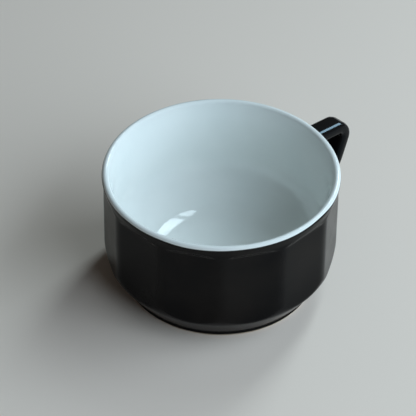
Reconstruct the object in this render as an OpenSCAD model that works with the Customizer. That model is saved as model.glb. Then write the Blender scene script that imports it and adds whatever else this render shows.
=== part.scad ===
// Soup mug: a low stoneware cup with twelve flat panels, a foot ring and one ear handle.
// The cup and the ear are formed apart and joined with clay slip. A white glaze lines the
// bowl and the lip, and a black glaze covers the outside. The foot stands bare on the table.
// The ear points along +X, and the origin is the centre of the foot ring on the table.

/* [Rim] */
// Diameter over the rolled lip
rim_d = 110; // [100:0.5:124]
// Height of the mug from the table to the top of the lip
cup_h = 62.2; // [58:0.2:72]
// Thickness of the rolled lip
lip_t = 3.4; // [2.6:0.1:4.6]
// Depth below the rim at which the outside starts to flare to the lip
outer_flare = 5; // [4:0.1:6]
// Depth below the rim at which the bowl starts to flare to the lip
inner_flare = 9; // [7:0.5:14]

/* [Panels] */
// Step from the lip in to the round body between the panels, on the radius
body_step = 0.6; // [0.2:0.1:1.4]
// Number of flat panels round the cup
panel_count = 12; // [8:1:16]
// Depth of the middle of a panel below the round body
panel_depth = 1.5; // [0.8:0.1:1.6]
// Depth below the rim at which the flat of a panel ends
panel_top = 7.6; // [7:0.1:12]
// Radius of the scoop at the top of a panel
scoop_r = 2.6; // [1.6:0.1:5]
// Height at which the flat of a panel ends and bends in over the belly
panel_foot = 16; // [15:0.2:18]
// Radius of that bend
panel_bend_r = 7; // [5:0.5:12]
// Distance outside the foot at which the lower run of a panel is aimed
panel_out = 0.8; // [0.6:0.1:2]

/* [Bowl] */
// Wall at the middle of a panel
wall_t = 3; // [2.2:0.1:4.5]
// Radius of the bend between the wall and the slope round the floor
cove_r = 12; // [8:0.5:16]
// Rise of the slope round the floor, in degrees
cove_slope = 26.5; // [22:0.5:40]
// Radius where the slope meets the edge of the floor
floor_edge_r = 5; // [3:0.5:7]
// Distance from the wall in to the edge of the floor
floor_in = 18.2; // [16:0.2:20]
// Radius of the dish that the floor is turned to
dish_r = 56; // [44:1:64]
// Rise of the dish at the edge of the floor, in degrees
dish_lean = 18; // [8:0.5:19]
// Widening of the bowl from the cove up to the flare, on the radius
bowl_draft = 0.3; // [0:0.05:0.4]
// Thickness of the floor at its level middle
floor_t = 4.75; // [4:0.25:8]

/* [Foot] */
// Step from the round body in to the foot ring, on the radius
foot_step = 9.6; // [7:0.2:13]
// Height of the foot ring where it meets the skirt
foot_h = 2.6; // [2:0.1:5]
// Breadth of the foot ring
foot_w = 5; // [4:0.1:9]
// Radius on the edges of the foot ring
foot_edge_r = 1; // [0.4:0.1:1.5]
// Height of the hollow inside the foot ring
hollow_h = 7.5; // [5:0.25:9]
// Radius where the hollow meets the foot ring
hollow_r = 3; // [1:0.25:3.5]
// Radius of the belly between the wall and the skirt
belly_r = 13.5; // [10:0.5:20]
// Height at which the wall starts to round into the belly
belly_h = 20.8; // [19:0.2:26]

/* [Ear] */
// Breadth of the ear
ear_w = 10.6; // [8:0.2:14]
// Thickness of the ear
ear_t = 6; // [5:0.2:7.6]
// Radius on the long edges of the ear
ear_edge_r = 2.3; // [1:0.1:2.3]
// Depth of the top of the ear below the top of the panel's flat, at the wall
ear_drop = 2.2; // [1.2:0.1:6]
// Height of the underside of the ear above the foot of the panel, at the wall
ear_rise = 0.65; // [0.4:0.05:4]
// Distance the ear stands out from the panel
ear_reach = 31; // [27:0.5:36]
// Fall of the top of the ear from the panel to the top of its upper bend
ear_fall = 2.9; // [0:0.1:5]
// Distance that the lower bend stands back from the upper one
ear_lean = 3.2; // [1:0.2:7]
// Least length of the straight run from the panel to the lower bend
ear_run = 10.8; // [8.4:0.2:14]
// Largest radius of the lower bend, as a share of the height between the joints
ear_chin = 0.485; // [0.35:0.005:0.5]
// Radius of the upper bend, at the middle of the ear
upper_bend_r = 5.5; // [4.5:0.25:8]
// Widening of each end of the ear at the panel, on every side
joint_flare = 0.8; // [0:0.1:1.2]
// Distance over which an end of the ear widens
flare_run = 6; // [3:0.5:8]

/* [Glaze and slip] */
// Thickness of the glaze
glaze_t = 0.4; // [0.2:0.05:0.6]
// Bare stretch of the foot ring's sides above its rounded edges
bare_h = 0.2; // [0.1:0.1:0.4]
// Thickness of the slip between the cup and the ear
slip_t = 0.8; // [0.4:0.1:1.5]

/* [Hidden] */
$fn = 96;

clay = [0.86, 0.82, 0.74];
slip = [0.80, 0.76, 0.68];
white = [0.90, 0.93, 0.92];
black = [0.06, 0.06, 0.07];

// Steps that a round stretch of an outline is drawn with
arc_steps = 16;
// Steps round an edge of the ear, round each bend and along each flared end
edge_steps = 5;
bend_steps = 10;
flare_steps = 4;
// Amount by which a cutting shape runs past what it cuts
past = 1;

rim_r = rim_d / 2;
lip_r = lip_t / 2;
lip_c = [rim_r - lip_r, cup_h - lip_r];
body_r = rim_r - body_step;
panel_a = body_r - panel_depth;
flat_top = cup_h - panel_top;
bowl_r = panel_a - wall_t - bowl_draft;
floor_z = hollow_h + floor_t;
dish_c = [bowl_r - floor_in - dish_r * sin(dish_lean), floor_z + dish_r];
floor_c = dish_c + (dish_r - floor_edge_r) * unit(dish_lean - 90);
slope_x = bowl_r - cove_r - floor_c.x + (cove_r - floor_edge_r) * sin(cove_slope);
cove_c = floor_c + [slope_x, slope_x * tan(cove_slope)]
    + (cove_r - floor_edge_r) * unit(cove_slope + 90);
belly_c = [body_r - belly_r, belly_h];
foot_r = body_r - foot_step;
foot_in_r = foot_r - foot_w;
glaze_stop = foot_edge_r + bare_h;
// Face of the clay wall behind the ear, and of the slip on it, along X
clay_x = panel_a - glaze_t;
slip_x = clay_x + slip_t;

function unit(angle) = [cos(angle), sin(angle)];

// Points of an arc about c from angle a0 to a1
function arc(c, r, a0, a1) =
    [for (i = [0:arc_steps]) c + r * unit(a0 + (a1 - a0) * i / arc_steps)];

// Angle at which a line from p touches the circle about c, on the side that turn picks
function touch(c, r, p, turn) =
    atan2(p.y - c.y, p.x - c.x) + turn * acos(r / norm(p - c));

function reversed(points) = [for (i = [len(points) - 1:-1:0]) points[i]];

// Outside of the cup from the glaze stop up to the widest line of the lip, grown by g
function outer_line(g) =
    let (foot_corner = [foot_r + g, foot_h])
    let (flare_start = [body_r + g, cup_h - outer_flare])
    concat(
        [[foot_r + g, glaze_stop]],
        [foot_corner],
        arc(belly_c, belly_r + g, touch(belly_c, belly_r + g, foot_corner, 1), 0),
        [flare_start],
        arc(lip_c, lip_r + g, touch(lip_c, lip_r + g, flare_start, 1), 0));

// Inside of the cup from the widest line of the lip down to the middle of the floor, sunk by g
function inner_line(g) =
    let (flare_start = [bowl_r + bowl_draft + g, cup_h - inner_flare])
    concat(
        arc(lip_c, lip_r - g, 0, 360 + touch(lip_c, lip_r - g, flare_start, -1)),
        [flare_start],
        arc(cove_c, cove_r + g, 0, cove_slope - 90),
        arc(floor_c, floor_edge_r + g, cove_slope - 90, dish_lean - 90),
        arc(dish_c, dish_r + g, dish_lean - 90, -90),
        [[0, floor_z - g]]);

// Underside of the cup from its middle out to the glaze stop inside the foot ring, sunk by g
function under_line(g) =
    let (corner_c = [foot_in_r - hollow_r, hollow_h - hollow_r])
    concat(
        [[0, hollow_h + g]],
        arc(corner_c, hollow_r + g, 90, 0),
        [[foot_in_r + g, glaze_stop]]);

// Bare bearing face of the foot ring, from its inner side to its outer side
function bearing_line(g) =
    concat(
        arc([foot_in_r + g + foot_edge_r, foot_edge_r], foot_edge_r, 180, 270),
        arc([foot_r - g - foot_edge_r, foot_edge_r], foot_edge_r, 270, 360));

// Space outside the panels, moved out by g: each is a flat with a scooped top, bent in at its foot
module panel_cuts(g) {
    flat = panel_a + g;
    end = rim_r + scoop_r + past;
    low = [foot_r + panel_out + g, foot_h];
    bend_c = [panel_a - panel_bend_r, panel_foot];
    side = [
        low,
        each arc(bend_c, panel_bend_r + g, touch(bend_c, panel_bend_r + g, low, 1), 0),
        each arc([flat + scoop_r - g, flat_top], scoop_r - g, 180, 90),
        [end, flat_top + scoop_r - g],
        [end, foot_h]
    ];
    for (i = [0:panel_count - 1]) {
        rotate([90, 0, i * 360 / panel_count])
            linear_extrude(2 * rim_r, center = true)
                polygon(side);
    }
}

// Solid cup without its bowl, grown by g and run past its ends by more
module blank(g, more) {
    line = outer_line(g);
    difference() {
        rotate_extrude()
            polygon(concat(
                [[0, glaze_stop - more]],
                [[foot_r + g, glaze_stop - more]],
                line,
                [[rim_r + g, lip_c.y + more]],
                [[0, lip_c.y + more]]));
        panel_cuts(g);
    }
}

// Middle line of the ear: two joints on the panel, and the centres of two bends between them
joint_top = [panel_a, flat_top - ear_drop - ear_t / 2];
joint_low = [panel_a, panel_foot + ear_rise + joint_flare + ear_t / 2];
bend_x = panel_a + ear_reach - ear_t / 2;
lower_bend_r = min(
    bend_x - ear_lean - ear_run - panel_a,
    ear_chin * (joint_top.y - joint_low.y));
bend_top = [bend_x - upper_bend_r, joint_top.y - ear_fall - upper_bend_r];
bend_low = [bend_x - ear_lean - lower_bend_r, joint_low.y + lower_bend_r];
head_top = run_heading(joint_top, 0, bend_top, upper_bend_r);
head_side = run_heading(bend_top, upper_bend_r, bend_low, lower_bend_r);
head_low = run_heading(bend_low, lower_bend_r, joint_low, 0);

// Heading of the straight run that leaves one bend and touches the next, both turning down
function run_heading(c0, r0, c1, r1) =
    atan2(c1.y - c0.y, c1.x - c0.x) - asin((r0 - r1) / norm(c1 - c0));

// Section across the ear as [thickness, breadth] points, grown by g
function ear_section(g) =
    let (corner = [ear_t / 2 - ear_edge_r, ear_w / 2 - ear_edge_r])
    [for (i = [0:3])
        let (side = [for (v = unit(45 + 90 * i)) sign(v)])
        for (k = [0:edge_steps])
            [corner.x * side.x, corner.y * side.y]
            + (ear_edge_r + g) * unit(90 * i + 90 * k / edge_steps)];

// Ring of points across the ear at p, square to its heading
function square_ring(p, head, g) =
    [for (s = ear_section(g))
        let (q = p + s.x * unit(head + 90))
        [q.x, s.y, q.y]];

// Ring of points across the ear in the upright plane at x, on the line through p
function plane_ring(p, head, x, g) =
    [for (s = ear_section(g + joint_flare * pow(1 - (x - panel_a) / flare_run, 2)))
        let (q = p + s.x * unit(head + 90))
        [x, s.y, q.y + (x - q.x) * tan(head)]];

// Rings round a bend of radius r about c, from heading h0 down to heading h1
function bend_rings(c, r, h0, h1, g) =
    [for (k = [0:bend_steps])
        let (head = h0 + (h1 - h0) * k / bend_steps)
        square_ring(c + r * unit(head + 90), head, g)];

// Rings from the upright plane at x along the ear and back to that plane, grown by g
function ear_rings(x, g) =
    let (flared = [x, for (k = [1:flare_steps]) panel_a + flare_run * k / flare_steps])
    concat(
        [for (at = flared) plane_ring(joint_top, head_top, at, g)],
        bend_rings(bend_top, upper_bend_r, head_top, head_side, g),
        bend_rings(bend_low, lower_bend_r, head_side, head_low, g),
        [for (at = reversed(flared)) plane_ring(joint_low, head_low, at, g)]);

// Faces between each ring and the next
function side_faces(rings, n, first) =
    [for (i = [0:rings - 2], k = [0:n - 1])
        let (a = first + i * n + k)
        let (b = first + i * n + (k + 1) % n)
        each [[a, b, a + n], [b, b + n, a + n]]];

// Solid through a list of rings, closed at both ends
module loft(rings) {
    n = len(rings[0]);
    last = (len(rings) - 1) * n;
    polyhedron(
        [for (ring = rings) each ring],
        concat(
            side_faces(len(rings), n, 0),
            [for (k = [1:n - 2]) [0, k + 1, k]],
            [for (k = [1:n - 2]) [last, last + k, last + k + 1]]));
}

// Coat between two lists of rings, open where their ends meet the panel
module coat(outer, inner) {
    n = len(outer[0]);
    shift = len(outer) * n;
    last = shift - n;
    polyhedron(
        [for (ring = concat(outer, inner)) each ring],
        concat(
            side_faces(len(outer), n, 0),
            [for (f = side_faces(len(inner), n, shift)) reversed(f)],
            [for (k = [0:n - 1])
                let (m = (k + 1) % n)
                each [
                    [k, shift + k, shift + m],
                    [k, shift + m, m],
                    [last + k, shift + last + m, shift + last + k],
                    [last + k, last + m, shift + last + m]
                ]]));
}

// Ear end between the upright planes at x0 and x1
module ear_end(p, head, x0, x1) {
    loft([for (x = [x0, x1]) plane_ring(p, head, x, -glaze_t)]);
}

module cup_body() {
    color(clay)
        difference() {
            rotate_extrude()
                polygon(concat(
                    under_line(glaze_t),
                    bearing_line(glaze_t),
                    outer_line(-glaze_t),
                    inner_line(glaze_t)));
            panel_cuts(-glaze_t);
        }
}

module handle() {
    color(clay) loft(ear_rings(slip_x, -glaze_t));
}

module upper_slip_joint() {
    color(slip) ear_end(joint_top, head_top, clay_x, slip_x);
}

module lower_slip_joint() {
    color(slip) ear_end(joint_low, head_low, clay_x, slip_x);
}

module inner_glaze() {
    color(white)
        rotate_extrude()
            polygon(concat(inner_line(0), reversed(inner_line(glaze_t))));
}

module outer_glaze() {
    color(black)
        difference() {
            blank(0, 0);
            blank(-glaze_t, past);
            ear_end(joint_top, head_top, clay_x - past, panel_a + past);
            ear_end(joint_low, head_low, clay_x - past, panel_a + past);
        }
}

module handle_glaze() {
    color(black) coat(ear_rings(panel_a, 0), ear_rings(panel_a, -glaze_t));
}

module base_glaze() {
    color(black)
        rotate_extrude()
            polygon(concat(under_line(0), reversed(under_line(glaze_t))));
}

cup_body();
handle();
upper_slip_joint();
lower_slip_joint();
inner_glaze();
outer_glaze();
handle_glaze();
base_glaze();
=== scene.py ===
import math

import bmesh
import bpy
from mathutils import Matrix, Vector


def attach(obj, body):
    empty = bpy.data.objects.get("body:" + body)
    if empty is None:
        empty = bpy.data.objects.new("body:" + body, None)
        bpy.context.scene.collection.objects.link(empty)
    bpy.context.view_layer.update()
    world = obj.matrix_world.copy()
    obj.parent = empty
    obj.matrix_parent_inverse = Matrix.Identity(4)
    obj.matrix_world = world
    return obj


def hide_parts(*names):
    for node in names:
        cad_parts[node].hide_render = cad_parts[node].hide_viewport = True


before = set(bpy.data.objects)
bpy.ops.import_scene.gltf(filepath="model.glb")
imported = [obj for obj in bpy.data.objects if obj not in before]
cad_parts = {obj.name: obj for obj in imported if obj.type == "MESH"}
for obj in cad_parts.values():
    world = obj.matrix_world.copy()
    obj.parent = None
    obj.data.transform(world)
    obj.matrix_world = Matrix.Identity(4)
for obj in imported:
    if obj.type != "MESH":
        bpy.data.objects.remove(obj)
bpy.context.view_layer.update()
mm = 0.001
sameHeight = 0.01    # mm, rings closer than this are one
print("frame loaded:", ", ".join(sorted(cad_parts)))


# camera, standing where the mug is seen over its front panels

cameraSet = {
    "azimuth": -45.8,         # degrees round the mug
    "elevation": 39.3,        # degrees above the table
    "roll": 0.66,             # degrees, right side a little low
    "mouth": (0, 0, 60.5),    # mm, middle of the mouth
    "distance": 1194.7,       # mm from the mouth
    "aside": 5.855,           # mm that the aim is left of the mouth
    "below": 15.921,          # mm that the aim is below it
    "lens": 225.0,            # mm
    "sensor": 36.0,
}


def towards(azimuth, elevation):
    turn, lift = math.radians(azimuth), math.radians(elevation)
    return Vector((math.sin(turn) * math.cos(lift), -math.cos(turn) * math.cos(lift), math.sin(lift)))


def addCamera(values):
    back = towards(values["azimuth"], values["elevation"])
    right = towards(values["azimuth"] + 90, 0)
    rise = back.cross(right)
    mouth = Vector(values["mouth"]) * mm
    stand = mouth + back * values["distance"] * mm
    aim = mouth - right * values["aside"] * mm - rise * values["below"] * mm
    look = (aim - stand).to_track_quat("-Z", "Y").to_matrix()
    look = look @ Matrix.Rotation(math.radians(values["roll"]), 3, "Z")
    bpy.ops.object.camera_add(location=stand, rotation=look.to_euler())
    camera = bpy.context.object
    camera.data.sensor_width = values["sensor"]
    camera.data.lens = values["lens"]
    bpy.context.scene.camera = camera
    print("camera placed")


bpy.ops.object.select_all(action="DESELECT")
addCamera(cameraSet)


# hand tools that the pieces share, all lengths in mm

def startPiece(name):
    piece = bpy.context.object
    piece.name = piece.data.name = name
    bpy.ops.object.mode_set(mode="EDIT")
    bpy.ops.mesh.select_mode(type="VERT")
    bpy.ops.mesh.select_all(action="SELECT")
    return piece


def pickVerts(piece, test):
    work = bmesh.from_edit_mesh(piece.data)
    for vert in work.verts:
        vert.select_set(test(vert.co / mm))
    work.select_flush_mode()
    bmesh.update_edit_mesh(piece.data, loop_triangles=False, destructive=False)


def extrudeBy(x, y, z):
    bpy.ops.mesh.extrude_region_move(TRANSFORM_OT_translate={"value": (x * mm, y * mm, z * mm)})


def arcRings(centre, radius, start, end, steps):
    rings = []
    for step in range(steps + 1):
        angle = math.radians(start + (end - start) * step / steps)
        rings.append((centre[0] + radius * math.cos(angle), centre[1] + radius * math.sin(angle)))
    return rings


def lineRings(start, end, steps):
    return [
        (start[0] + (end[0] - start[0]) * step / steps, start[1] + (end[1] - start[1]) * step / steps)
        for step in range(1, steps + 1)
    ]


def touchAngle(centre, radius, point, side):    # where a line from the point touches the circle
    across, up = point[0] - centre[0], point[1] - centre[1]
    return math.degrees(math.atan2(up, across) + side * math.acos(radius / math.hypot(across, up)))


def headingBetween(start, startRadius, end, endRadius):    # along the line that touches both bends
    across, up = end[0] - start[0], end[1] - start[1]
    return math.atan2(up, across) - math.asin((startRadius - endRadius) / math.hypot(across, up))


def turnRings(name, rings, columns, closeLast):    # a ring pulled up the profile, as on a wheel
    radius, height = rings[0]
    bpy.ops.object.select_all(action="DESELECT")
    bpy.ops.mesh.primitive_circle_add(vertices=columns, radius=radius * mm, location=(0, 0, 0))
    piece = startPiece(name)
    bpy.ops.transform.translate(value=(0, 0, height * mm))
    for nextRadius, nextHeight in rings[1:]:
        extrudeBy(0, 0, nextHeight - height)
        share = nextRadius / radius
        bpy.ops.transform.resize(value=(share, share, 1), center_override=(0, 0, nextHeight * mm))
        radius, height = nextRadius, nextHeight
    if closeLast:
        bpy.ops.mesh.merge(type="CENTER")
    bpy.ops.mesh.select_all(action="SELECT")
    bpy.ops.mesh.normals_make_consistent(inside=False)
    return piece


def faceTowards(piece, spot, wanted):    # turns the skin over if the face nearest the spot looks away
    work = bmesh.from_edit_mesh(piece.data)
    nearest = min(work.faces, key=lambda face: (face.calc_center_median() / mm - Vector(spot)).length)
    if nearest.normal.dot(Vector(wanted)) < 0:
        bpy.ops.mesh.select_all(action="SELECT")
        bpy.ops.mesh.flip_normals()


def thicken(piece, thickness):    # inwards, away from the face that is seen
    bpy.ops.object.modifier_add(type="SOLIDIFY")
    coat = piece.modifiers[-1]
    coat.thickness = thickness * mm
    coat.offset = -1
    coat.use_even_offset = True
    bpy.ops.object.modifier_apply(modifier=coat.name)


def finishPiece(piece, node, material):
    piece.data.materials.clear()
    piece.data.materials.append(material)
    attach(piece, "root")
    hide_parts(node)
    print(piece.name, "done,", len(piece.data.polygons), "faces")


# node tools that the finishes share

def addNode(tree, kind, inputs=None, **settings):
    node = tree.nodes.new(kind)
    for key, value in settings.items():
        setattr(node, key, value)
    for key, value in (inputs or {}).items():
        if isinstance(value, bpy.types.NodeSocket):
            tree.links.new(value, node.inputs[key])
        else:
            node.inputs[key].default_value = value
    return node


def startFinish(name):
    material = bpy.data.materials.new(name)
    material.use_nodes = True
    tree = material.node_tree
    place = addNode(tree, "ShaderNodeTexCoord").outputs["Object"]
    return material, tree, tree.nodes["Principled BSDF"], place


def noise(tree, place, scale, detail=2.0, roughness=0.5):
    inputs = {"Vector": place, "Scale": scale, "Detail": detail, "Roughness": roughness}
    return addNode(tree, "ShaderNodeTexNoise", inputs).outputs["Fac"]


def spread(tree, value, low, high, toLow, toHigh):
    inputs = {"Value": value, "From Min": low, "From Max": high, "To Min": toLow, "To Max": toHigh}
    return addNode(tree, "ShaderNodeMapRange", inputs).outputs["Result"]


def maths(tree, operation, first, second=0.0):
    return addNode(tree, "ShaderNodeMath", {0: first, 1: second}, operation=operation).outputs[0]


def blendColours(tree, share, first, second):
    mix = addNode(tree, "ShaderNodeMix", data_type="RGBA")
    for socket, value in ((mix.inputs["Factor"], share), (mix.inputs[6], first), (mix.inputs[7], second)):
        if isinstance(value, bpy.types.NodeSocket):
            tree.links.new(value, socket)
        else:
            socket.default_value = value if socket.type == "VALUE" else (*value, 1)
    return mix.outputs[2]


def addBump(tree, height, distance, strength, under=None):
    inputs = {"Height": height, "Distance": distance * mm, "Strength": strength}
    if under is not None:
        inputs["Normal"] = under
    return addNode(tree, "ShaderNodeBump", inputs).outputs["Normal"]


# finishes of the mug

lineSet = {
    "height": 61.35,              # mm, where the white coat ends on the lip's outside
    "lean": (0.0033, 0.0032),     # the dipped line rises a little from front to back
    "wander": 1.0,                # mm up and down
    "scale": 26.0,                # waves for each metre
    "soft": 0.22,                 # mm over which the two coats melt together
    "lipMiddle": 53.3,            # mm from the middle, on top of the lip
}

whiteSet = {
    "thick": (0.84, 0.865, 0.84),
    "thin": (0.80, 0.835, 0.815),
    "roughLow": 0.03,
    "roughHigh": 0.08,
    "shine": 0.5,
}

blackSet = {
    "deep": (0.004, 0.004, 0.0045),
    "thin": (0.010, 0.0085, 0.0078),
    "roughLow": 0.10,
    "roughHigh": 0.21,
    "shine": 0.08,
    "footShine": 0.015,         # painted shade: the shine drops towards the foot, keeping the floor's reflection off the skirt
    "footTo": (3.0, 36.0),      # mm, over these heights
    "paintedHighlightShine": 0.42,         # painted highlight: shine raised along the ear's upper edges, where the window panes' highlight falls
    # painted reflection colour: a blue tint that puts sky colour into the ear's highlight
    "paintedHighlightTint": (0.50, 0.78, 1.0),
    "crestAt": (52.9, 51.6),    # mm, x and z, under the edge at the wall
    "crestFall": -0.137,        # how the edge falls away from the wall
    "crestSoft": 0.4,           # mm over which it comes up
}

coatSet = {
    "cloudScale": 38.0,         # colour clouds, waves for each metre
    "patchScale": 95.0,         # duller and glossier patches
    "range": (0.3, 0.7),        # part of the noise that is spread out
    "swayScale": 70.0,          # slow waviness
    "swayHeight": 0.30,         # mm
    "swayStrength": 0.15,
    "peelScale": 620.0,         # fine unevenness
    "peelHeight": 0.02,
    "peelStrength": 0.25,
    "refraction": 1.52,
}

claySet = {
    "body": (0.42, 0.35, 0.27),
    "warm": (0.34, 0.265, 0.19),
    "fleck": (0.12, 0.085, 0.055),
}

slipSet = {
    "body": (0.58, 0.51, 0.41),
    "damp": (0.47, 0.40, 0.31),
}

grainSet = {
    "patchScale": 60.0,
    "patchRange": (0.35, 0.65),
    "gritScale": 1600.0,
    "gritRange": (0.3, 0.7),
    "gritRough": (0.72, 0.92),
    "gritHeight": 0.08,         # mm
    "gritStrength": 0.7,
    "fleckScale": 750.0,
    "fleckRange": (0.64, 0.70),
    "fleckShare": 0.8,
}


def coatColours(tree, place):
    cloud = noise(tree, place, coatSet["cloudScale"], detail=3.0)
    cloud = spread(tree, cloud, *coatSet["range"], 0.0, 1.0)
    white = blendColours(tree, cloud, whiteSet["thin"], whiteSet["thick"])
    black = blendColours(tree, cloud, blackSet["deep"], blackSet["thin"])
    return white, black


def whiteShare(tree, place, inside):    # 1 on the white side of the wandering line
    parts = addNode(tree, "ShaderNodeSeparateXYZ", {0: place}).outputs
    wander = noise(tree, place, lineSet["scale"], detail=1.0)
    wander = spread(tree, wander, 0.0, 1.0, -lineSet["wander"] * mm, lineSet["wander"] * mm)
    lean = maths(tree, "ADD", maths(tree, "MULTIPLY", parts["X"], lineSet["lean"][0]),
                 maths(tree, "MULTIPLY", parts["Y"], lineSet["lean"][1]))
    above = maths(tree, "SUBTRACT", maths(tree, "SUBTRACT", parts["Z"], wander), lean)
    low = (lineSet["height"] - lineSet["soft"] / 2) * mm
    high = (lineSet["height"] + lineSet["soft"] / 2) * mm
    share = spread(tree, above, low, high, 0.0, 1.0)
    if inside:
        away = maths(tree, "SQRT", maths(tree, "ADD", maths(tree, "POWER", parts["X"], 2.0),
                                         maths(tree, "POWER", parts["Y"], 2.0)))
        share = maths(tree, "MAXIMUM", share, maths(tree, "LESS_THAN", away, lineSet["lipMiddle"] * mm))
    return share


def shineOf(tree, place, share, inside, crest):    # specular level over the coat
    if inside:
        return spread(tree, share, 0.0, 1.0, blackSet["shine"], whiteSet["shine"])
    parts = addNode(tree, "ShaderNodeSeparateXYZ", {0: place}).outputs
    # painted highlight: on the ear, a strip of raised shine along the upper edges, where the window's highlight
    # falls
    if crest:
        startX, startZ = blackSet["crestAt"]
        fall = maths(tree, "MULTIPLY", maths(tree, "SUBTRACT", parts["X"], startX * mm), blackSet["crestFall"])
        above = maths(tree, "SUBTRACT", maths(tree, "SUBTRACT", parts["Z"], startZ * mm), fall)
        return spread(tree, above, 0.0, blackSet["crestSoft"] * mm, blackSet["shine"], blackSet["paintedHighlightShine"])
    # painted shade: the black coat's shine drops towards the foot, keeping the floor's reflection off the skirt
    low, high = blackSet["footTo"]
    return spread(tree, parts["Z"], low * mm, high * mm, blackSet["footShine"], blackSet["shine"])


def makeGlaze(name, inside, crest=False):
    material, tree, shader, place = startFinish(name)
    white, black = coatColours(tree, place)
    share = whiteShare(tree, place, inside)
    tree.links.new(blendColours(tree, share, black, white), shader.inputs["Base Color"])
    patch = noise(tree, place, coatSet["patchScale"], detail=4.0, roughness=0.6)
    gloss = whiteSet if inside else blackSet
    rough = spread(tree, patch, *coatSet["range"], gloss["roughLow"], gloss["roughHigh"])
    tree.links.new(rough, shader.inputs["Roughness"])
    shader.inputs["IOR"].default_value = coatSet["refraction"]
    shader.inputs["Specular IOR Level"].default_value = gloss["shine"]
    tree.links.new(shineOf(tree, place, share, inside, crest), shader.inputs["Specular IOR Level"])
    # painted reflection colour: the ear's reflections are tinted blue, standing in for sky colour in its
    # highlight
    if crest:
        shader.inputs["Specular Tint"].default_value = (*blackSet["paintedHighlightTint"], 1)
    slow = noise(tree, place, coatSet["swayScale"], detail=1.0)
    sway = addBump(tree, slow, coatSet["swayHeight"], coatSet["swayStrength"])
    fine = noise(tree, place, coatSet["peelScale"], detail=2.0)
    peel = addBump(tree, fine, coatSet["peelHeight"], coatSet["peelStrength"], sway)
    tree.links.new(peel, shader.inputs["Normal"])
    return material


def makeClay(name, body, patchColour, fleck):
    material, tree, shader, place = startFinish(name)
    patch = noise(tree, place, grainSet["patchScale"], detail=4.0, roughness=0.6)
    patch = spread(tree, patch, *grainSet["patchRange"], 0.0, 1.0)
    colour = blendColours(tree, patch, body, patchColour)
    grit = noise(tree, place, grainSet["gritScale"], detail=3.0, roughness=0.6)
    if fleck:
        specks = noise(tree, place, grainSet["fleckScale"], detail=2.0)
        specks = spread(tree, specks, *grainSet["fleckRange"], 0.0, grainSet["fleckShare"])
        colour = blendColours(tree, specks, colour, fleck)
    tree.links.new(colour, shader.inputs["Base Color"])
    rough = spread(tree, grit, *grainSet["gritRange"], *grainSet["gritRough"])
    tree.links.new(rough, shader.inputs["Roughness"])
    bumps = addBump(tree, grit, grainSet["gritHeight"], grainSet["gritStrength"])
    tree.links.new(bumps, shader.inputs["Normal"])
    return material


whiteGlaze = makeGlaze("whiteGlaze", True)
blackGlaze = makeGlaze("blackGlaze", False)
# the ear's black glaze, with a painted highlight strip and blue-tinted reflections
earBlackPaintedHighlight = makeGlaze("earBlackPaintedHighlight", False, True)
bareClay = makeClay("bareClay", claySet["body"], claySet["warm"], claySet["fleck"])
firedSlip = makeClay("firedSlip", slipSet["body"], slipSet["damp"], None)
print("finishes mixed")


# white coat: lip, bowl wall, bend, slope and floor in one skin

bowlSet = {
    "columns": 360,
    "lipMiddle": (53.3, 60.5),
    "lipRadius": 1.7,
    "flareFoot": (49.9, 53.2),     # where the wall starts to open to the lip
    "bendMiddle": (37.6, 31.43),
    "bendRadius": 12.0,
    "floorHeight": 12.25,
    "flatRadius": 14.1,            # level middle of the floor
    "dishRadius": 56.0,            # slow rise round it
    "dishEdge": 31.4,
    "edgeRadius": 5.0,             # quicker turn into the slope
    "poleRadius": 1.0,             # last ring before the floor closes
    "lipSteps": 18,
    "flareSteps": 8,
    "wallSteps": 20,
    "bendSteps": 14,
    "slopeSteps": 10,
    "edgeSteps": 5,
    "dishSteps": 12,
    "floorSteps": 10,
    "coat": 0.35,
    "softTurns": 18,
    "softWall": (40.0, 58.5),      # heights between which the wall is smoothed
    "softClear": 1.2,              # but not this near the middle of the lip
    "lowTurns": 6,
    "lowTop": 34.0,                # the bend, slope and floor lie below this
}


def buildBowlGlaze(values):
    lip, flareFoot = values["lipMiddle"], values["flareFoot"]
    bend, bendRadius, edgeRadius = values["bendMiddle"], values["bendRadius"], values["edgeRadius"]
    dish = (values["flatRadius"], values["floorHeight"] + values["dishRadius"])
    dishLean = math.degrees(math.asin((values["dishEdge"] - dish[0]) / values["dishRadius"]))
    dishRings = arcRings(dish, values["dishRadius"], dishLean - 90, -90, values["dishSteps"])
    edge = arcRings(dish, values["dishRadius"] - edgeRadius, dishLean - 90, -90, 1)[0]
    slope = math.degrees(headingBetween(edge, -edgeRadius, bend, -bendRadius))
    lipEnd = touchAngle(lip, values["lipRadius"], flareFoot, -1) + 360
    rings = arcRings(lip, values["lipRadius"], 0, lipEnd, values["lipSteps"])
    rings += lineRings(rings[-1], flareFoot, values["flareSteps"])
    rings += lineRings(flareFoot, (bend[0] + bendRadius, bend[1]), values["wallSteps"])
    rings += arcRings(bend, bendRadius, 0, slope - 90, values["bendSteps"])[1:]
    edgeRings = arcRings(edge, edgeRadius, slope - 90, dishLean - 90, values["edgeSteps"])
    rings += lineRings(rings[-1], edgeRings[0], values["slopeSteps"]) + edgeRings[1:] + dishRings[1:]
    rings += lineRings(rings[-1], (values["poleRadius"], values["floorHeight"]), values["floorSteps"])
    piece = turnRings("bowlGlaze", rings, values["columns"], True)
    faceTowards(piece, (0, 0, values["floorHeight"]), (0, 0, 1))
    low, high = values["softWall"]
    pickVerts(piece, lambda p: p.xy.length < lip[0] - values["softClear"] and low < p.z < high)
    bpy.ops.mesh.vertices_smooth(factor=0.5, repeat=values["softTurns"])    # no crease where the wall opens
    pickVerts(piece, lambda p: p.z < values["lowTop"])
    bpy.ops.mesh.vertices_smooth(factor=0.5, repeat=values["lowTurns"])
    bpy.ops.object.mode_set(mode="OBJECT")
    bpy.ops.object.shade_smooth()
    thicken(piece, values["coat"])
    return piece


finishPiece(buildBowlGlaze(bowlSet), "inner_glaze", whiteGlaze)


# black coat: collar, twelve pressed panels, belly and skirt

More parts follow.
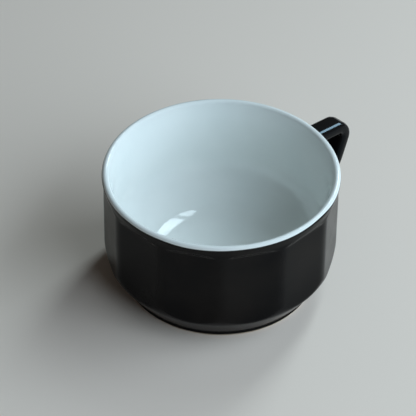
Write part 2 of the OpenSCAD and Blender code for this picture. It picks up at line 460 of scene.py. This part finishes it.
wallSet = {
    "columns": 360,
    "lipMiddle": (53.3, 60.5),
    "lipRadius": 1.7,
    "bodyRadius": 54.4,
    "collarTop": 57.2,
    "bellyMiddle": (40.9, 20.8),
    "bellyRadius": 13.5,
    "footRadius": 44.8,
    "footTop": 2.6,
    "footFillet": 1.2,
    "glazeEnd": 1.2,               # the coat stops here, above the bare foot
    "endRound": 0.34,
    "panels": 12,
    "panelAt": 52.9,               # flat, from the middle
    "panelTop": 54.6,
    "scoopRadius": 2.6,
    "panelFoot": 16.0,             # the flat bends in below this
    "panelBend": 7.0,
    "panelOut": 0.8,               # its lower run is aimed this far outside the foot
    "endSteps": 5,
    "footSteps": 2,
    "filletSteps": 6,
    "skirtSteps": 9,
    "bellySteps": 20,
    "flatSteps": 26,
    "scoopSteps": 9,
    "flareSteps": 4,
    "lipSteps": 3,
    "softTurns": 5,
    "softAbove": 1.5,              # smoothed from this far above the foot
    "softPast": 0.5,               # to this far past the collar
    "coat": 0.35,
}


def wallRings(values):
    belly, bellyRadius = values["bellyMiddle"], values["bellyRadius"]
    foot, fillet, end = values["footRadius"], values["footFillet"], values["endRound"]
    corner = (foot, values["footTop"])
    bellyFoot = touchAngle(belly, bellyRadius, corner, 1)
    skirt = bellyFoot + 90                      # degrees, lean of the skirt
    bite = fillet * math.tan(math.radians(90 - skirt) / 2)
    rings = arcRings((foot - end, values["glazeEnd"] + end), end, -90, 0, values["endSteps"])
    rings += lineRings(rings[-1], (foot, corner[1] - bite), values["footSteps"])
    rings += arcRings((foot + fillet, corner[1] - bite), fillet, 180, 90 + skirt, values["filletSteps"])[1:]
    bellyRings = arcRings(belly, bellyRadius, bellyFoot, 0, values["bellySteps"])
    rings += lineRings(rings[-1], bellyRings[0], values["skirtSteps"]) + bellyRings[1:]
    wall = values["bodyRadius"]
    rings += lineRings((wall, belly[1]), (wall, values["panelTop"]), values["flatSteps"])
    rings += lineRings((wall, values["panelTop"]), (wall, values["collarTop"]), values["scoopSteps"])
    lipStart = touchAngle(values["lipMiddle"], values["lipRadius"], rings[-1], 1)
    lipRings = arcRings(values["lipMiddle"], values["lipRadius"], lipStart, 0, values["lipSteps"])
    rings += lineRings(rings[-1], lipRings[0], values["flareSteps"]) + lipRings[1:]
    return rings


def panelDepth(values, height):    # how far out the panel lies at this height
    flatAt, flatTop, scoop = values["panelAt"], values["panelTop"], values["scoopRadius"]
    bend, bendRadius = (flatAt - values["panelBend"], values["panelFoot"]), values["panelBend"]
    low = (values["footRadius"] + values["panelOut"], values["footTop"])
    lean = math.radians(touchAngle(bend, bendRadius, low, 1))
    bendEnd = bend[1] + bendRadius * math.sin(lean)
    if height < bendEnd:
        return low[0] - (height - low[1]) * math.tan(lean)
    if height < bend[1]:
        return bend[0] + math.sqrt(bendRadius ** 2 - (bend[1] - height) ** 2)
    if height > flatTop:
        return flatAt + scoop - math.sqrt(scoop ** 2 - (height - flatTop) ** 2)
    return flatAt


def pressPanels(piece, values, heights):    # the wall turns under one press, panel by panel
    top = values["panelTop"] + values["scoopRadius"]
    work = bmesh.from_edit_mesh(piece.data)
    bands = {}
    for height in heights:
        if values["footTop"] < height < top:
            depth = round(panelDepth(values, height), 4)
            row = [vert for vert in work.verts if abs(vert.co.z / mm - height) < sameHeight]
            bands.setdefault(depth, []).extend(row)
    for press in range(values["panels"]):
        for depth, row in bands.items():
            bpy.ops.mesh.select_all(action="DESELECT")
            proud = [vert for vert in row if vert.co.x > depth * mm]
            for vert in proud:
                vert.select_set(True)
            if proud:
                bpy.ops.transform.resize(value=(0, 1, 1), center_override=(depth * mm, 0, 0))
        bpy.ops.mesh.select_all(action="SELECT")
        bpy.ops.transform.rotate(value=math.tau / values["panels"], orient_axis="Z", center_override=(0, 0, 0))


def buildWallGlaze(values):
    rings = wallRings(values)
    piece = turnRings("wallGlaze", rings, values["columns"], False)
    faceTowards(piece, (0, values["bodyRadius"], values["panelTop"]), (0, 1, 0))
    pressPanels(piece, values, [height for radius, height in rings])
    low, high = values["footTop"] + values["softAbove"], values["collarTop"] + values["softPast"]
    pickVerts(piece, lambda p: low < p.z < high)
    bpy.ops.mesh.vertices_smooth(factor=0.5, repeat=values["softTurns"])    # glaze softens the arrises
    bpy.ops.object.mode_set(mode="OBJECT")
    bpy.ops.object.shade_smooth()
    thicken(piece, values["coat"])
    return piece


finishPiece(buildWallGlaze(wallSet), "outer_glaze", blackGlaze)


# black coat inside the foot ring

hollowSet = {
    "columns": 180,
    "radius": 39.8,
    "top": 7.5,
    "cornerRadius": 3.0,
    "glazeEnd": 1.2,
    "endRound": 0.34,
    "poleRadius": 1.0,
    "endSteps": 5,
    "wallSteps": 4,
    "cornerSteps": 8,
    "floorSteps": 12,
    "coat": 0.35,
}


def buildHollowGlaze(values):
    radius, top, bend = values["radius"], values["top"], values["cornerRadius"]
    end = values["endRound"]
    rings = arcRings((radius + end, values["glazeEnd"] + end), end, -90, -180, values["endSteps"])
    rings += lineRings(rings[-1], (radius, top - bend), values["wallSteps"])
    rings += arcRings((radius - bend, top - bend), bend, 0, 90, values["cornerSteps"])[1:]
    rings += lineRings((radius - bend, top), (values["poleRadius"], top), values["floorSteps"])
    piece = turnRings("hollowGlaze", rings, values["columns"], True)
    faceTowards(piece, (0, 0, top), (0, 0, -1))
    bpy.ops.object.mode_set(mode="OBJECT")
    bpy.ops.object.shade_smooth()
    thicken(piece, values["coat"])
    return piece


finishPiece(buildHollowGlaze(hollowSet), "base_glaze", blackGlaze)


# black coat over the ear, with the glaze pooled where it meets the wall

earSet = {
    "width": 10.6,
    "thick": 6.0,
    "edge": 2.3,
    "edgeSteps": 5,
    "shoulder": [                  # mm out from the middle, mm below the top
        (5.3, 2.3), (5.08, 1.25), (4.65, 0.66), (4.1, 0.36), (2.85, 0.03), (2.55, 0.0),
    ],
    "wallAt": 52.9,
    "upperEnd": (52.9, 49.4),      # middle line, x and z
    "upperBend": (75.4, 41.0),
    "upperRadius": 5.5,
    "lowerBend": (63.7, 34.44),
    "lowerRadius": 14.0,
    "bendSteps": (12, 12),
    "pool": [                      # mm from the wall, mm that the ear is fuller there
        (-0.3, 1.9), (0.0, 1.8), (0.3, 1.3), (0.7, 1.0), (1.2, 0.8), (2.2, 0.5), (3.6, 0.22), (6.0, 0.0),
    ],
    "weld": 0.0005,                # points nearer than this become one
    "roundLevels": 2,
}


def bendPoint(middle, radius, heading):
    return (middle[0] - radius * math.sin(heading), middle[1] + radius * math.cos(heading))


def growRing(values, spot, before, after):
    width = (values["width"] + 2 * after) / (values["width"] + 2 * before)
    thick = (values["thick"] + 2 * after) / (values["thick"] + 2 * before)
    bpy.ops.transform.resize(value=(1, width, thick), center_override=(spot[0] * mm, 0, spot[1] * mm))


def drawTo(spot, target):
    extrudeBy(target[0] - spot[0], 0, target[1] - spot[1])
    return target


def spinRing(middle, angle, steps):
    bpy.ops.mesh.spin(steps=steps, angle=-angle, center=(middle[0] * mm, 0, middle[1] * mm), axis=(0, 1, 0))


def easeShoulders(piece, values, top):    # the upper edges turn down slowly before they round
    edge, steps, flat = values["edge"], values["edgeSteps"], values["width"] / 2 - values["edge"]
    for step, (out, down) in zip(range(steps, -1, -1), values["shoulder"]):
        angle = math.pi / 2 * step / steps
        level = top - edge * (1 - math.cos(angle))
        pickVerts(piece, lambda p: abs(p.z - level) < sameHeight)
        bpy.ops.transform.resize(value=(1, out / (flat + edge * math.sin(angle)), 1), center_override=(0, 0, 0))
        bpy.ops.transform.translate(value=(0, 0, (top - down - level) * mm))


def buildEarGlaze(values):
    end, upper, lower = values["upperEnd"], values["upperBend"], values["lowerBend"]
    out = headingBetween(end, 0, upper, values["upperRadius"])
    down = headingBetween(upper, values["upperRadius"], lower, values["lowerRadius"])
    back = -math.pi
    pool = values["pool"]
    drop = math.tan(out)
    spot = (end[0] + pool[0][0], end[1] + pool[0][0] * drop)
    bpy.ops.object.select_all(action="DESELECT")
    place = (spot[0] * mm, 0, spot[1] * mm)
    bpy.ops.mesh.primitive_plane_add(size=mm, location=place, rotation=(0, math.pi / 2, 0))
    section = bpy.context.object
    section.scale = (values["thick"], values["width"], 1)
    bpy.ops.object.transform_apply(location=True, rotation=True, scale=True)
    piece = startPiece("earGlaze")
    bpy.ops.mesh.bevel(offset=values["edge"] * mm, segments=values["edgeSteps"], affect="VERTICES")
    bpy.ops.mesh.delete(type="ONLY_FACE")
    easeShoulders(piece, values, spot[1] + values["thick"] / 2)
    bpy.ops.mesh.select_all(action="SELECT")
    growRing(values, spot, 0, pool[0][1])
    for (fromAway, fromGrow), (away, grow) in zip(pool, pool[1:]):
        spot = drawTo(spot, (end[0] + away, end[1] + away * drop))
        growRing(values, spot, fromGrow, grow)
    bpy.ops.transform.rotate(value=out, orient_axis="Y", center_override=(spot[0] * mm, 0, spot[1] * mm))
    spot = drawTo(spot, bendPoint(upper, values["upperRadius"], out))
    spinRing(upper, out - down, values["bendSteps"][0])
    spot = bendPoint(upper, values["upperRadius"], down)
    spot = drawTo(spot, bendPoint(lower, values["lowerRadius"], down))
    spinRing(lower, down - back, values["bendSteps"][1])
    spot = bendPoint(lower, values["lowerRadius"], back)
    for (away, grow), (fromAway, fromGrow) in reversed(list(zip(pool, pool[1:]))):
        if fromAway == pool[-1][0]:
            spot = drawTo(spot, (values["wallAt"] + fromAway, spot[1]))
        spot = drawTo(spot, (values["wallAt"] + away, spot[1]))
        growRing(values, spot, fromGrow, grow)
    bpy.ops.mesh.select_all(action="SELECT")
    bpy.ops.mesh.remove_doubles(threshold=values["weld"] * mm)
    bpy.ops.mesh.fill_holes(sides=0)
    bpy.ops.mesh.select_all(action="SELECT")
    bpy.ops.mesh.normals_make_consistent(inside=False)
    bpy.ops.object.mode_set(mode="OBJECT")
    bpy.ops.object.modifier_add(type="SUBSURF")
    rounding = piece.modifiers[-1]
    rounding.levels = rounding.render_levels = values["roundLevels"]
    bpy.ops.object.modifier_apply(modifier=rounding.name)
    bpy.ops.object.shade_smooth()
    return piece


finishPiece(buildEarGlaze(earSet), "handle_glaze", earBlackPaintedHighlight)


# clay under the coats, bare at the foot ring

for node, material in (
    ("cup_body", bareClay),
    ("handle", bareClay),
    ("upper_slip_joint", firedSlip),
    ("lower_slip_joint", firedSlip),
):
    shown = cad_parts[node]
    shown.data.materials.clear()
    shown.data.materials.append(material)
print("clay dressed")


# floor and light

floorSet = {
    "size": 4.0,                   # metres
    "colour": (0.86, 0.745, 0.655),
    "shade": (0.83, 0.715, 0.625),
    "cloudScale": 3.0,
    "rough": 0.7,
}

lightSet = {
    "lowerPane": {
        "azimuth": 103.2, "out": 0.804, "height": 0.858,    # degrees round the mug, metres from it
        "faces": 130, "tilt": 0,                            # degrees, the side it looks from and its lean
        "size": (0.241, 0.815), "power": 5.5, "colour": (0.74, 0.92, 1.0), "mirrored": True,
    },
    "upperPane": {
        "azimuth": 103.2, "out": 0.804, "height": 1.61,
        "faces": 130, "tilt": 0,
        "size": (0.241, 0.38), "power": 2.0, "colour": (0.74, 0.92, 1.0), "mirrored": True,
    },
    "side": {
        "azimuth": 22, "out": 1.244, "height": 0.839,
        "faces": 22, "tilt": 34,
        "size": (2.4, 1.3), "power": 35.0, "colour": (0.70, 0.865, 1.0), "mirrored": False,
    },
}

worldSet = {"colour": (1.0, 0.94, 0.86), "strength": 0.05}


def addFloor(values):
    bpy.ops.object.select_all(action="DESELECT")
    bpy.ops.mesh.primitive_plane_add(size=values["size"], location=(0, 0, 0))
    floor = bpy.context.object
    floor.name = floor.data.name = "paleFloor"
    material, tree, shader, place = startFinish("palePaper")
    cloud = noise(tree, place, values["cloudScale"], detail=3.0)
    tree.links.new(blendColours(tree, cloud, values["colour"], values["shade"]), shader.inputs["Base Color"])
    shader.inputs["Roughness"].default_value = values["rough"]
    floor.data.materials.append(material)


def addLight(name, values):
    stand = towards(values["azimuth"], 0) * values["out"] + Vector((0, 0, values["height"]))
    look = towards(values["faces"], values["tilt"]).to_track_quat("Z", "Y")
    bpy.ops.object.light_add(type="AREA", location=stand, rotation=look.to_euler())
    light = bpy.context.object
    light.visible_glossy = values["mirrored"]
    light.name = name
    light.data.shape = "RECTANGLE"
    light.data.size, light.data.size_y = values["size"]
    light.data.energy = values["power"]
    light.data.color = values["colour"]


addFloor(floorSet)
for lightName, lightValues in lightSet.items():
    addLight(lightName, lightValues)

world = bpy.data.worlds.new("studio")
world.use_nodes = True
world.node_tree.nodes["Background"].inputs["Color"].default_value = (*worldSet["colour"], 1)
world.node_tree.nodes["Background"].inputs["Strength"].default_value = worldSet["strength"]
bpy.context.scene.world = world
bpy.context.scene.view_settings.view_transform = "Standard"
print("floor and light set")
